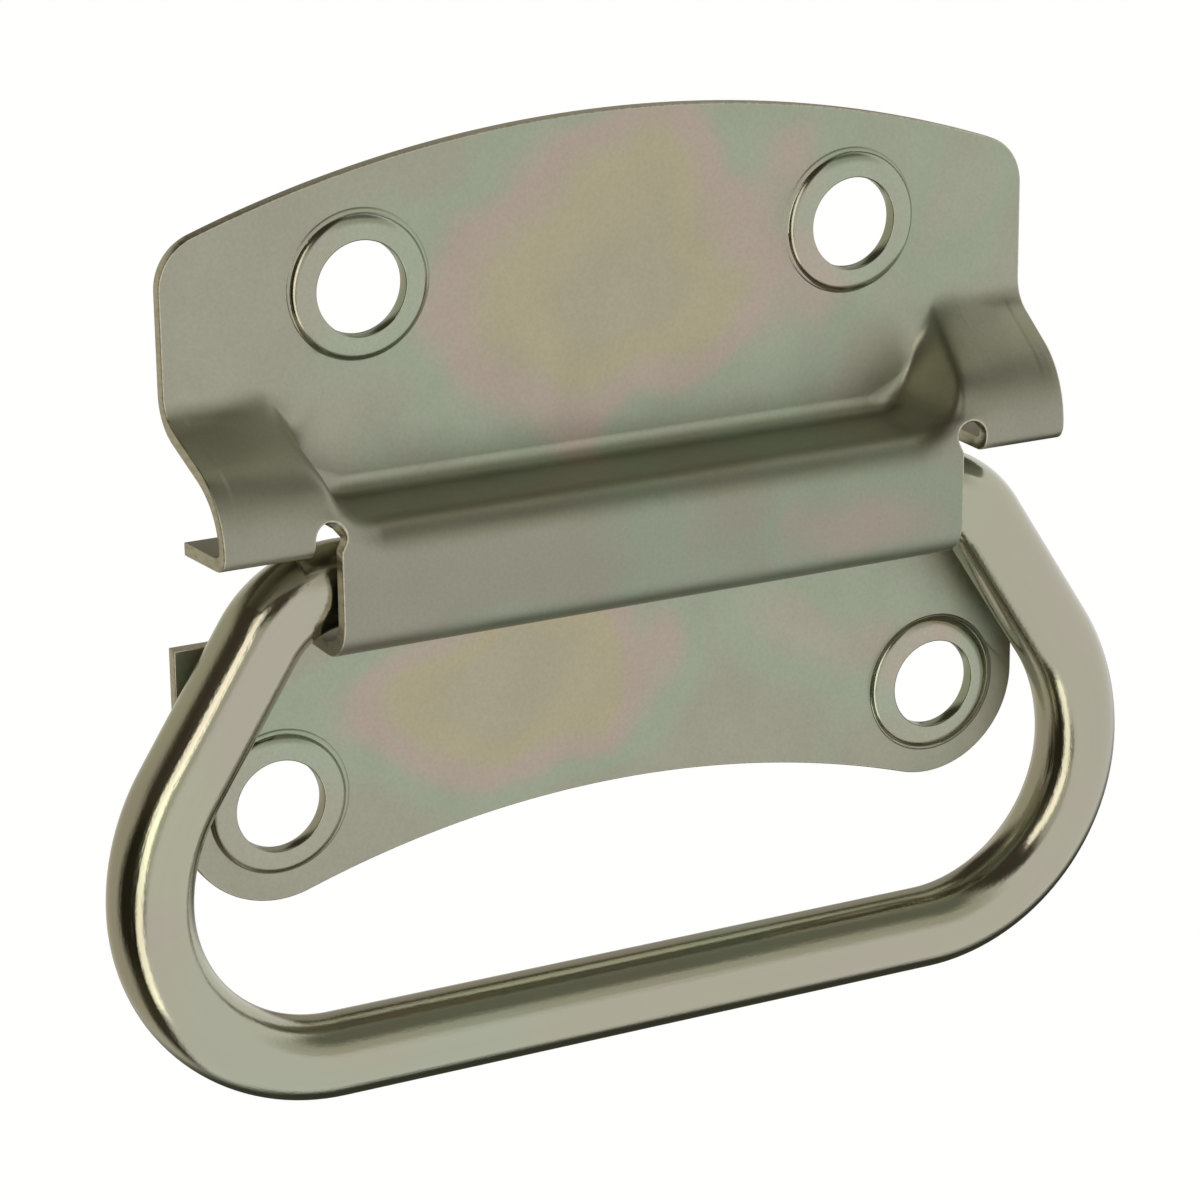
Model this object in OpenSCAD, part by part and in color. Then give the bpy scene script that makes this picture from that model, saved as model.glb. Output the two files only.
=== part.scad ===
// Chest handle: a pressed steel plate with a hinge barrel and stop wings,
// and a bent rod bail that swings in the barrel.
// Plate upright in the X-Z plane, back face on the wall at Y = 0, front towards -Y.
// The origin is on the back face, midway between the two upper screw holes.

/* [Plate] */
// Width of the plate
plate_w = 88.9; // [80:0.1:100]
// Thickness of the steel sheet
sheet_t = 1.3; // [1:0.05:1.6]
// Height of the arched top edge above the upper holes
crown_rise = 13.4; // [12:0.1:18]
// Radius of the arched top edge
crown_r = 123.7; // [100:0.5:200]
// Radius of the two upper corners
corner_r = 5; // [2:0.1:8]
// How far the lower edge is hollowed out, measured up from the ends of its lobes
hollow_rise = 5.5; // [3:0.1:8]

/* [Screw holes] */
// Distance between the two upper holes
upper_spacing = 50.8; // [44:0.05:56]
// Distance between the two lower holes
lower_spacing = 69.85; // [66:0.05:72]
// Drop from the upper holes to the lower holes
hole_drop = 47.6; // [46:0.1:56]
// Diameter of the screw holes
hole_d = 8.73; // [6:0.01:9.5]
// Diameter of the raised ring around each hole
ring_d = 13.6; // [12.5:0.1:15]
// Height of the ring above the plate
ring_h = 0.9; // [0.4:0.05:1.4]
// Rounding of the ring's outer shoulder
ring_round = 0.6; // [0.1:0.05:0.8]
// Rounding of the ring's inner lip
lip_round = 0.4; // [0.1:0.05:0.6]

/* [Hinge barrel] */
// Length of the barrel
barrel_len = 64.4; // [56:0.1:66]
// Drop from the upper holes to the pivot
pivot_drop = 25.8; // [25:0.1:30]
// Headroom between the rod and the barrel's upper wall
headroom = 1.6; // [0.6:0.1:2.5]
// Radius inside the creases at the plate
crease_r = 1.6; // [0.6:0.1:2]
// Outer radius of the barrel's long edges
barrel_r = 2.5; // [2:0.1:3.5]

/* [Stop wings] */
// Gap between the lip and the back face
lip_back_gap = 1.5; // [0.5:0.1:3]
// How far each wing draws in from the plate's side
wing_draw = 1.1; // [0.2:0.1:2]
// Fall of the wing's slope, below square to the plate
slope_deg = 28; // [15:1:40]
// Radius of the hollow bend at the top of the wing
wing_hollow_r = 3.2; // [2:0.1:5]
// Radius of the full bend at the front of the wing
wing_front_r = 8; // [5:0.1:9]
// Outer radius of the fold to the lip
fold_r = 1.7; // [1.7:0.1:2.5]
// Width of the relief notch between wing and barrel
notch_w = 2.4; // [1.5:0.1:3.5]
// Height of the relief notch above the fold
notch_rise = 1.6; // [0.6:0.1:2]
// How far the inner wall of the wing lies inside the barrel's end
wall_inset = 0.8; // [0.2:0.1:1.2]
// How far the lower flange's ears reach above the crease under the barrel
ear_rise = 2.1; // [0.5:0.1:4]

/* [Bail] */
// Diameter of the bail's rod
rod_d = 7.94; // [7:0.01:8.5]
// Half width of the bail, at the rod's centre line
bail_half_w = 49.45; // [48.5:0.05:54]
// Drop from the pivot to the bottom bar
bail_drop = 45.84; // [44:0.02:60]
// Half length of the straight pivot
pivot_half = 30.1; // [28:0.1:31]
// Bend radius at the shoulder
bend_shoulder_r = 9.4; // [8:0.1:12]
// Bend radius of the flare
bend_flare_r = 20.4; // [16:0.1:22]
// Bend radius at the bottom corner
bend_corner_r = 17.75; // [12:0.05:18]

/* [Fits] */
// Clearance of the rod in its barrel and over the lower flange
rod_gap = 0.3; // [0.2:0.05:0.5]
// Clearance between the raised arm and the stop lip
stop_gap = 0.3; // [0.2:0.05:0.5]

/* [Hidden] */
$fn = 96;
// Overlap of cutting tools past the faces they cut, and a size larger than the whole handle
over = 1;
far = 200;
// Lengths that are worked out keep to this step, so that faces that meet lie at one place.
length_step = 0.001;
function stepped(v) = round(v / length_step) * length_step;
// Faces that would only graze each other cross by this much.
graze = 0.003;
half_w = plate_w / 2;
rod_r = rod_d / 2;
hole_r = hole_d / 2;
ring_r = ring_d / 2;
barrel_half = barrel_len / 2;

// Heights on the plate (y, up from the upper holes) and depths off the wall (z).
pivot_y = -pivot_drop;
pivot_z = sheet_t + rod_gap + rod_r;
// The rod starts to bend just inside the barrel's ends, and the inside of its bend leans out there.
inside_r = bend_shoulder_r - rod_r;
bent_len = max(0, barrel_half - pivot_half);
bend_lean = stepped(inside_r - sqrt(max(0, pow(inside_r, 2) - pow(bent_len, 2))));
rod_room = rod_r + bend_lean + rod_gap;
front_z = pivot_z + rod_room + sheet_t;
ledge_y = pivot_y + rod_r + headroom + sheet_t;
floor_y = pivot_y - rod_room - sheet_t;
lip_y = pivot_y + rod_r + stop_gap;
fold_y = lip_y + fold_r;
lower_y = -hole_drop;
flange_y = floor_y - crease_r;
ear_y = flange_y + ear_rise;
lobe_r = half_w - lower_spacing / 2;

// The wing's profile runs down the plate: hollow bend, slope, full bend, fold, lip.
wing_z = front_z - wing_front_r;
hollow_z = sheet_t + wing_hollow_r;
bends_r = wing_front_r + wing_hollow_r;
slope_len = stepped((wing_z - hollow_z + bends_r * sin(slope_deg)) / cos(slope_deg));
hollow_y = stepped(fold_y + bends_r * cos(slope_deg) + slope_len * sin(slope_deg));
wall_x = barrel_half - wall_inset;
lip_in = barrel_half + notch_w;

// Hollowed lower edge: a circle that touches both lobes.
hollow_top = lower_y - lobe_r + hollow_rise;
lobe_lift = lower_y - hollow_top;
lobes_to_edge = pow(lower_spacing / 2, 2) + pow(lobe_lift, 2) - pow(lobe_r, 2);
edge_r = stepped(lobes_to_edge / (2 * (lobe_r - lobe_lift)));
touch_x = stepped(lower_spacing / 2 * edge_r / (edge_r + lobe_r));

// Arched upper edge: the corner circles touch it from inside.
crown_y = crown_rise - crown_r;
corner_y = stepped(crown_y + sqrt(pow(crown_r - corner_r, 2) - pow(half_w - corner_r, 2)));
crown_touch = stepped((half_w - corner_r) * crown_r / (crown_r - corner_r));

// Bail: shoulder and flare bends with the straight that touches both, then the corner and the bottom bar.
bar_y = pivot_y - bail_drop;
shoulder_c = [pivot_half, pivot_y - bend_shoulder_r];
flare_c = [bail_half_w - bend_flare_r, bar_y + bend_corner_r];
corner_c = [bail_half_w - bend_corner_r, bar_y + bend_corner_r];
reach = flare_c - shoulder_c;
turn = atan2(-reach.y, reach.x) - asin((bend_flare_r - bend_shoulder_r) / norm(reach));
arm_len = stepped(sqrt(pow(norm(reach), 2) - pow(bend_flare_r - bend_shoulder_r, 2)));
// The straights are thicker than the bends by a hair, overlap them and taper into them.
hair = 0.01;
grip = 0.2;
taper = 0.2;

// Lays a y-z profile along x, from x0 to x1.
module along_x(x0, x1) {
    translate([x0, 0, 0]) rotate([90, 0, 90]) linear_extrude(x1 - x0) children();
}

// Both sides of the plate.
module both_sides() {
    children();
    mirror([1, 0, 0]) children();
}

// Section of a bent sheet: a ring sector of inner radius r, from angle a0 through sweep degrees.
module bend(r, a0, sweep) {
    fan = 2 * (r + sheet_t);
    intersection() {
        difference() {
            circle(r + sheet_t);
            circle(r);
        }
        polygon([[0, 0], for (i = [0:2]) fan * [cos(a0 + i * sweep / 2), sin(a0 + i * sweep / 2)]]);
    }
}

// Rectangle between two corners.
module span(a, b) {
    translate([min(a.x, b.x), min(a.y, b.y)]) square([abs(a.x - b.x), abs(a.y - b.y)]);
}

// The hinge barrel's section: crease, ledge, front, floor and crease.
module barrel_section() {
    translate([ledge_y + crease_r, sheet_t + crease_r]) bend(crease_r, 180, 90);
    span([ledge_y - sheet_t, sheet_t + crease_r], [ledge_y, front_z - barrel_r]);
    translate([ledge_y - barrel_r, front_z - barrel_r]) bend(barrel_r - sheet_t, 0, 90);
    span([ledge_y - barrel_r, front_z - sheet_t], [floor_y + barrel_r, front_z]);
    translate([floor_y + barrel_r, front_z - barrel_r]) bend(barrel_r - sheet_t, 90, 90);
    span([floor_y, sheet_t + crease_r], [floor_y + sheet_t, front_z - barrel_r]);
    translate([floor_y - crease_r, sheet_t + crease_r]) bend(crease_r, 270, 90);
}

// What lies behind the wing's front face, or behind a face at a depth under it, down to a base.
module wing_fill(depth, base) {
    full_c = [fold_y, wing_z];
    hollow_c = [hollow_y, hollow_z];
    full_r = wing_front_r - depth;
    hollow_r = wing_hollow_r + depth;
    outward = [cos(slope_deg), sin(slope_deg)];
    difference() {
        union() {
            intersection() {
                translate(full_c) circle(full_r);
                span([fold_y, base], [hollow_y, front_z]);
            }
            polygon([[fold_y, base], [hollow_y, base], hollow_c, hollow_c - (hollow_r - graze) * outward,
                     full_c + (full_r - graze) * outward, full_c]);
        }
        translate(hollow_c) circle(hollow_r);
    }
}

// The wing's section from the plate down to the start of the fold.
module wing_section() {
    difference() {
        wing_fill(0, 0);
        wing_fill(sheet_t, -over);
    }
}

// Fold and stop lip under a wing.
module lip_section() {
    translate([fold_y, front_z - fold_r]) bend(fold_r - sheet_t, 90, 90);
    span([lip_y, lip_back_gap], [lip_y + sheet_t, front_z - fold_r]);
}

// Plan of the upper flange: arched top with round corners, down to the wings and the barrel's crease.
module upper_plan() {
    intersection() {
        union() {
            intersection() {
                translate([0, crown_y - graze]) circle(crown_r, $fn = 360);
                span([-crown_touch, floor_y], [crown_touch, crown_rise]);
            }
            both_sides() translate([half_w - corner_r, corner_y]) circle(corner_r);
            span([-half_w, floor_y], [half_w, corner_y]);
        }
        union() {
            span([-half_w, hollow_y], [half_w, crown_rise]);
            span([-wall_x - sheet_t, ledge_y + crease_r], [wall_x + sheet_t, crown_rise]);
        }
    }
}

// Plan of the lower flange: ears beside the barrel, a lobe round each hole and a hollow lower edge.
module lower_plan() {
    span([-half_w, lower_y], [half_w, flange_y]);
    both_sides() {
        span([barrel_half, flange_y], [half_w, ear_y]);
        translate([lower_spacing / 2, lower_y]) circle(lobe_r);
    }
    difference() {
        span([-touch_x, lower_y - lobe_r], [touch_x, flange_y]);
        translate([0, hollow_top - edge_r + graze]) circle(edge_r, $fn = 360);
    }
}

// Raised ring around a screw hole, with a rounded shoulder and a rounded inner lip.
module ring() {
    top = sheet_t + ring_h;
    rotate_extrude() {
        span([hole_r, 0], [hole_r + lip_round, top - lip_round]);
        span([hole_r + lip_round, 0], [ring_r - ring_round, top]);
        span([ring_r - ring_round, 0], [ring_r, top - ring_round]);
        translate([hole_r + lip_round, top - lip_round]) circle(lip_round);
        translate([ring_r - ring_round, top - ring_round]) circle(ring_round);
    }
}

// The four screw holes.
module at_holes() {
    for (side = [-1, 1]) {
        translate([side * upper_spacing / 2, 0, 0]) children();
        translate([side * lower_spacing / 2, lower_y, 0]) children();
    }
}

// Inner wall of the right wing, with its crease at the plate and its joint to the barrel's front.
module wing_wall() {
    along_x(wall_x, wall_x + sheet_t) {
        wing_fill(0, 0);
        span([ledge_y - sheet_t, 0], [fold_y, front_z]);
    }
    translate([0, hollow_y, 0]) rotate([90, 0, 0]) linear_extrude(hollow_y - ledge_y) difference() {
        span([wall_x - crease_r, sheet_t / 2], [wall_x + sheet_t / 2, sheet_t + crease_r]);
        translate([wall_x - crease_r + graze, sheet_t + crease_r - graze]) circle(crease_r);
    }
    along_x(wall_x, barrel_half) span([ledge_y - barrel_r, front_z - sheet_t], [fold_y, front_z]);
}

// Section of what comes off the wing's shoulder to round it: face at distance r, wall at wall_x,
// body below the face, or above it where inward is -1.
module shoulder_section(r, inward) {
    difference() {
        span([r - inward * barrel_r, wall_x - crease_r - over],
             [r + inward * (crease_r + over), wall_x + barrel_r]);
        translate([r - inward * (barrel_r - graze), wall_x + barrel_r - graze]) circle(barrel_r);
    }
}

// Rounds the right wing's shoulder along the full bend, the slope and the hollow bend, down to the plate.
module shoulder_cut() {
    // How far the rounding runs past both ends
    past_deg = 30;
    intersection() {
        translate([0, fold_y, wing_z]) rotate([90, 0, 90]) rotate([0, 0, slope_deg]) {
            rotate_extrude(angle = 90 - slope_deg + past_deg) shoulder_section(wing_front_r, 1);
            rotate([90, 0, 0]) linear_extrude(slope_len) shoulder_section(wing_front_r, 1);
            translate([bends_r, -slope_len, 0]) rotate([0, 0, 180])
                rotate_extrude(angle = 90 - slope_deg + past_deg) shoulder_section(wing_hollow_r, -1);
        }
        translate([0, -far, sheet_t]) cube(2 * far);
    }
}

// Relief notch between the right wing and the barrel: straight sides, round top, through the front only.
module notch_cut() {
    notch_top = fold_y + notch_rise;
    translate([0, 0, front_z - barrel_r - sheet_t]) linear_extrude(barrel_r + sheet_t + over) {
        translate([barrel_half + notch_w / 2, notch_top - notch_w / 2]) circle(notch_w / 2);
        span([barrel_half, lip_y], [lip_in, notch_top - notch_w / 2]);
    }
}

// The side of the right wing draws in towards its front.
module draw_cut() {
    draw_end = wing_draw * (front_z + over - sheet_t) / (front_z - sheet_t);
    translate([0, hollow_y, 0]) rotate([90, 0, 0]) linear_extrude(hollow_y - lip_y + over)
        polygon([[half_w, sheet_t], [half_w - draw_end, front_z + over],
                 [half_w + over, front_z + over], [half_w + over, sheet_t]]);
}

// Right wing with its wall, fold and stop lip.
module wing() {
    difference() {
        union() {
            along_x(wall_x, half_w) wing_section();
            wing_wall();
            along_x(lip_in, half_w) lip_section();
        }
        shoulder_cut();
        notch_cut();
        draw_cut();
    }
}

// One sheet of zinc plated steel: two flanges, a hinge barrel between them and a stop wing at each end.
module mounting_plate() {
    color("#A39D8C") rotate([90, 0, 0]) difference() {
        union() {
            linear_extrude(sheet_t) upper_plan();
            linear_extrude(sheet_t) lower_plan();
            along_x(-barrel_half, barrel_half) barrel_section();
            both_sides() wing();
            at_holes() ring();
        }
        at_holes() translate([0, 0, -over]) cylinder(r = hole_r, h = sheet_t + ring_h + 2 * over);
    }
}

// A bend of the rod: centre at c, radius r, from angle a0 through sweep degrees.
module rod_bend(c, r, a0, sweep) {
    translate([c.x, c.y, 0]) rotate([0, 0, a0]) rotate_extrude(angle = sweep)
        translate([r, 0]) circle(rod_r);
}

// Straight of the right arm, between the shoulder bend and the flare bend.
module arm_straight() {
    thick = rod_r + hair;
    thin = rod_r - hair;
    translate([shoulder_c.x, shoulder_c.y, 0]) rotate([0, 0, -turn]) translate([0, bend_shoulder_r, 0])
        rotate([0, 90, 0]) rotate_extrude()
            polygon([[0, -grip - taper], [thin, -grip - taper], [thick, -grip],
                     [thick, arm_len + grip], [thin, arm_len + grip + taper], [0, arm_len + grip + taper]]);
}

// Right arm of the bail: shoulder bend, straight, flare bend and bottom corner.
module arm() {
    translate([2 * shoulder_c.x, 0, 0]) mirror([1, 0, 0]) rod_bend(shoulder_c, bend_shoulder_r, 90, turn);
    arm_straight();
    rod_bend(flare_c, bend_flare_r, 0, 90 - turn);
    rod_bend(corner_c, bend_corner_r, 270, 90);
}

// One bent rod: the straight pivot in the barrel, two flared arms and the bottom bar.
module bail_handle() {
    color("#B5B2A6") rotate([90, 0, 0]) translate([0, 0, pivot_z]) {
        along_x(-pivot_half, pivot_half) translate([pivot_y, 0]) circle(rod_r);
        both_sides() arm();
        along_x(-corner_c.x, corner_c.x) translate([bar_y, 0]) circle(rod_r);
    }
}

mounting_plate();
bail_handle();
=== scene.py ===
"""Looks for a pressed chest handle: a zinc-plated mounting plate and a swinging bail of round rod.

The scene is in metres in the part's own frame: the plate's back face is y = 0, up is +Z and
the front of the handle looks towards -Y. The plate and the bail are first laid out on the
plate's own plan, in millimetres: x to the right, y up from the upper screw holes, z off the wall.
"""

import math

import bmesh
import bpy
from mathutils import Matrix, Vector
from mathutils.geometry import delaunay_2d_cdt

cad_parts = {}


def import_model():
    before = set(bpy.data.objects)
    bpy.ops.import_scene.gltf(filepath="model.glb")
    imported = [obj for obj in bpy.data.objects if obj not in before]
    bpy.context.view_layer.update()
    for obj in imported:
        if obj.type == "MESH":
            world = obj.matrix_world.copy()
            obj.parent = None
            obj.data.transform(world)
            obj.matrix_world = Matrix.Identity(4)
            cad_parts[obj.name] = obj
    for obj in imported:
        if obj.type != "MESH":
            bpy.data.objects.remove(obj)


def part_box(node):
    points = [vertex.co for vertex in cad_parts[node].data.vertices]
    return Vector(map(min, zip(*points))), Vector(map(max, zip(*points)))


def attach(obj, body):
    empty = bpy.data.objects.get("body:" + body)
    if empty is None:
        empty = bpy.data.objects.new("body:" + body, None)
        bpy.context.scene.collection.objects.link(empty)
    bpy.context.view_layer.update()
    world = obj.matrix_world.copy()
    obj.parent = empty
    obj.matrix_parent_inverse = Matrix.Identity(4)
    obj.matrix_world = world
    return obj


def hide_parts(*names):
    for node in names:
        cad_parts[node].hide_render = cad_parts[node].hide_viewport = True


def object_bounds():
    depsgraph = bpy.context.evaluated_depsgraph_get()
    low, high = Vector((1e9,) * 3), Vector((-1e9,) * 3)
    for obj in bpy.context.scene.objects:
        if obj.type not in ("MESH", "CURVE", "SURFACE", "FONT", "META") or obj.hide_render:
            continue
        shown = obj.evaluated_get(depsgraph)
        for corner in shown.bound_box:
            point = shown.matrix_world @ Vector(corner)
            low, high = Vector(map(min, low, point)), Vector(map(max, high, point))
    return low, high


MM = 0.001

# Camera: a long lens from the front left, a little above the handle.
CAMERA_TARGET = Vector((-0.81, 0.0, -33.8)) * MM
CAMERA_AZIMUTH = math.radians(-27.11)
CAMERA_ELEVATION = math.radians(18.3)
CAMERA_ROLL = math.radians(-0.62)
CAMERA_DISTANCE = 405.4 * MM
CAMERA_NEAR = 10.0 * MM
SENSOR_WIDTH_MM = 36.0
LENS_MM = 128.73

# Stage: a pale floor under the hanging handle.
FLOOR_DROP = 60.0 * MM
FLOOR_HALF = 4.0
FLOOR_GLOW = 0.9
FLOOR_COLOUR = "#8C8C8A"

# Lamp: a tall soft box at the front left, in metres.
LAMP_PLACE = Vector((-0.76, -0.62, -0.1)) * 1.6
LAMP_WIDTH = 0.5
LAMP_HEIGHT = 3.2
LAMP_STRENGTH = 2.1
LAMP_COLOUR = "#FFFBF0"

# What the metal mirrors: each part's direction, the cosines between which it fades in, and its colour.
# Each part is laid over those before it, and the room lies under them all.
ROOM_COLOUR = "#4C473A"
STUDIO = {
    "overhead": ((0.43, 0.22, 0.875), (0.87, 0.97), "#DADCC6"),
    "back": ((-0.3, 0.9, -0.4), (0.6, 0.8), "#E0DED4"),
    "back_left": ((-0.7, 0.7, -0.2), (0.6, 0.85), "#CCC8B8"),
    "dark_left": ((-0.95, -0.15, -0.2), (0.8, 0.95), "#302E20"),
    "front_left": ((-0.5, -0.85, 0.1), (0.9, 0.97), "#D8D8CC"),
    "white_tent": ((0.788, -0.512, -0.342), (0.0, 0.14), "#FFFFFF"),
    "upper_tent": ((0.43, -0.6, 0.67), (0.82, 0.97), "#D2D2C6"),
    "tent_gap": ((0.43, -0.35, 0.83), (0.9, 0.985), "#84867A"),
    "below_back": ((0.43, 0.45, -0.78), (0.75, 0.92), "#46483C"),
    "far_back_low": ((0.43, 0.85, -0.31), (0.94, 0.985), "#C4C4BA"),
    "far_back_high": ((0.43, 0.85, 0.31), (0.93, 0.985), "#B0ACA0"),
}

# Sheet and flanges, in millimetres.
SHEET = 1.3
CROWN_R = 123.7
CORNER_R = 5.0
UPPER_SPACING = 50.8
LOWER_SPACING = 69.85
HOLE_DROP = 47.6
HOLLOW_RISE = 5.5
EAR_RISE = 1.6
EAR_SLIT = 0.35
EDGE_FRONT = 0.16
EDGE_BACK = 0.1

# Screw holes and the raised rings around them. Each ring's foot sits a little to one side.
HOLE_R = 4.365
HOLE_LIP = 0.2
HOLE_WALL = 1.5
RING_R = 6.8
RING_FOOT = 0.28
RING_H = 0.9
RING_SHIFT = 0.22
RING_SIDES = 72
RING_SHIFT_DEG = {"upper_left": 90, "upper_right": 135, "lower_left": 45, "lower_right": -30}
# A ring's section from its foot to its hole: radius, height and share of the foot's shift.
RING_SECTION = (
    (RING_R + RING_FOOT, 0.0, 1.0),
    (RING_R + 0.2, 0.03, 1.0),
    (RING_R + 0.16, 0.1, 0.95),
    (RING_R + 0.1, 0.15, 0.75),
    (RING_R + 0.02, 0.17, 0.45),
    (RING_R - 0.06, 0.2, 0.15),
    (RING_R - 0.12, 0.32, 0.0),
    (RING_R - 0.22, 0.46, 0.0),
    (RING_R - 0.42, 0.61, 0.0),
    (RING_R - 0.72, 0.75, 0.0),
    (RING_R - 1.1, 0.85, 0.0),
    (RING_R - 1.5, RING_H - 0.01, 0.0),
    (HOLE_R + 0.5, RING_H, 0.0),
    (HOLE_R, RING_H, 0.0),
)

# Hinge barrel.
BARREL_HALF = 32.2
BARREL_R = 4.0
BARREL_TOP_R = 3.5
CREASE_R = 1.1
LEDGE_CREASE_R = 1.7
LEDGE_Y = -18.93
FLOOR_Y = -31.793

# Stop wings: the profile down a wing, its leaning inner wall, its notch, fold and lip.
FOLD_Y = -19.83
FOLD_R = 1.7
FULL_R = 8.0
HOLLOW_R = 3.2
SLOPE = math.radians(28)
WING_DRAW = 1.1
LIP_BACK = 4.2
NOTCH_W = 2.4
NOTCH_RISE = 1.7
NOTCH_BITE = 0.6
NOTCH_TURN_DEG = 200
WALL_POINT = Vector((31.6, -17.0))
WALL_LEAN = math.radians(18.3)
WALL_CORNER_R = 4.6
WALL_DRAFT = 0.2
WALL_PAST = 0.3
CREST_R = 1.2
# Where a wing is low, its wall's crease and crest take at most these shares of its height.
CREASE_SHARE = 0.45
CREST_SHARE = 0.5

# Where the drawn wall runs out into the hollow bend, and how the metal flows smooth there and along it.
RUN_OUT = Vector((33.9, -10.2))
RUN_OUT_R = 7.0
FLOW_PASSES = 60
FLOW_RATE = 0.5
WALL_FLOW = 0.2
WALL_FLOW_REACH = 3.0

# Meshing: the part of the crest in the wall's strip, the rows that finish it, steps across a lip,
# the room kept clear round inner points, and what counts as nothing, one point, a sliver or a sharp edge.
CREST_STRIP_DEG = 50
CREST_TURNS = [math.radians(a) for a in (60, 70, 80, 90)]
LIP_STEPS = 9
CREST_CLEAR = 0.3
FILL_CLEAR = 0.32
TINY = 1e-6
MERGE_WITHIN = 0.003
SLIVER = 0.0005
MITRE_LIMIT = 0.3
SHARP_EDGE = math.radians(42)

# Film on the plate: middle and reach of each pool in scene millimetres and how deep it is.
FILM_POOLS = (
    ((2.0, 0.0, 0.0), (34.0, 60.0, 24.0), 1.0),
    ((-12.0, 0.0, -41.0), (38.0, 60.0, 16.0), 1.0),
    ((23.0, 0.0, -39.0), (32.0, 60.0, 18.0), 0.5),
    ((13.0, 0.0, -26.5), (38.0, 60.0, 11.0), 0.45),
)
FILM_DRIFT = 0.34
FILM_DRIFT_MM = 24.0

# Metal of the plate: where painted shade darkens it, how much shinier a ring is, its grain and its marks.
# The grain of rolled sheet is finer than the render shows, so it is drawn coarser.
# Painted shade: the colour darkens between these depths off the wall, down to this share of itself.
OFF_WALL_SHADE_DEPTH = (9.5, 4.0)
OFF_WALL_SHADE_DARKEST = 0.84
BURNISH = 0.22
BURNISH_INSET = 0.02
SATIN_MM = 6.0
GRAIN_SIZE_MM = 0.35
GRAIN_MM = 0.004
MARKS_MM = 0.04
DIE_LINE = 42.84
DIE_LINE_LEAN = 0.107
DIE_LINE_W = 0.2
# The marks fade in over these stretches: up from the fold, down from the flange, out from the barrel.
MARKS_FROM_FOLD = (-19.0, -16.0)
MARKS_FROM_FLANGE = (-6.0, -9.0)
MARKS_FROM_BARREL = (33.5, 35.5)

# Bail: centre line of the rod.
ROD_R = 3.97
ROD_SIDES = 96
PIVOT_Y = -25.8
PIVOT_Z = 5.57
PIVOT_HALF = 30.1
BAIL_HALF_W = 49.45
BAIL_DROP = 45.84
SHOULDER_R = 9.4
FLARE_R = 20.4
BOTTOM_R = 17.75
JOINT_GAP = 0.05

# The part of 0 to 1 that a noise mostly stays in.
NOISE_RANGE = (0.3, 0.7)


def linear(hex_colour):
    """An sRGB hex colour as linear RGBA."""
    parts = [int(hex_colour[i : i + 2], 16) / 255.0 for i in (1, 3, 5)]
    curve = [c / 12.92 if c <= 0.04045 else ((c + 0.055) / 1.055) ** 2.4 for c in parts]
    return (*curve, 1.0)


def add_node(tree, kind, links=None, values=None, **settings):
    """Adds one node with its settings, its socket values and the links into it."""
    node = tree.nodes.new(kind)
    for name, value in settings.items():
        setattr(node, name, value)
    for key, value in (values or {}).items():
        node.inputs[key].default_value = value
    for key, source in (links or {}).items():
        tree.links.new(source, node.inputs[key])
    return node


def new_material(name):
    """An empty node material and its output node."""
    material = bpy.data.materials.new(name)
    material.use_nodes = True
    material.node_tree.nodes.clear()
    return material, add_node(material.node_tree, "ShaderNodeOutputMaterial")


def spread(start, end, steps):
    """Even steps from start to end, both included."""
    return [start + (end - start) * k / steps for k in range(steps + 1)]


def turns(start_deg, end_deg, steps):
    """Even steps of an angle, in radians."""
    return [math.radians(a) for a in spread(start_deg, end_deg, steps)]


def arc(centre, radius, start_deg, end_deg, steps):
    """Points of a plan arc."""
    angles = turns(start_deg, end_deg, steps)
    return [Vector((centre[0] + radius * math.cos(a), centre[1] + radius * math.sin(a))) for a in angles]


def to_scene(point):
    """A plan point in millimetres as a scene point in metres."""
    return Vector((point[0], -point[2], point[1])) * MM


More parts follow.
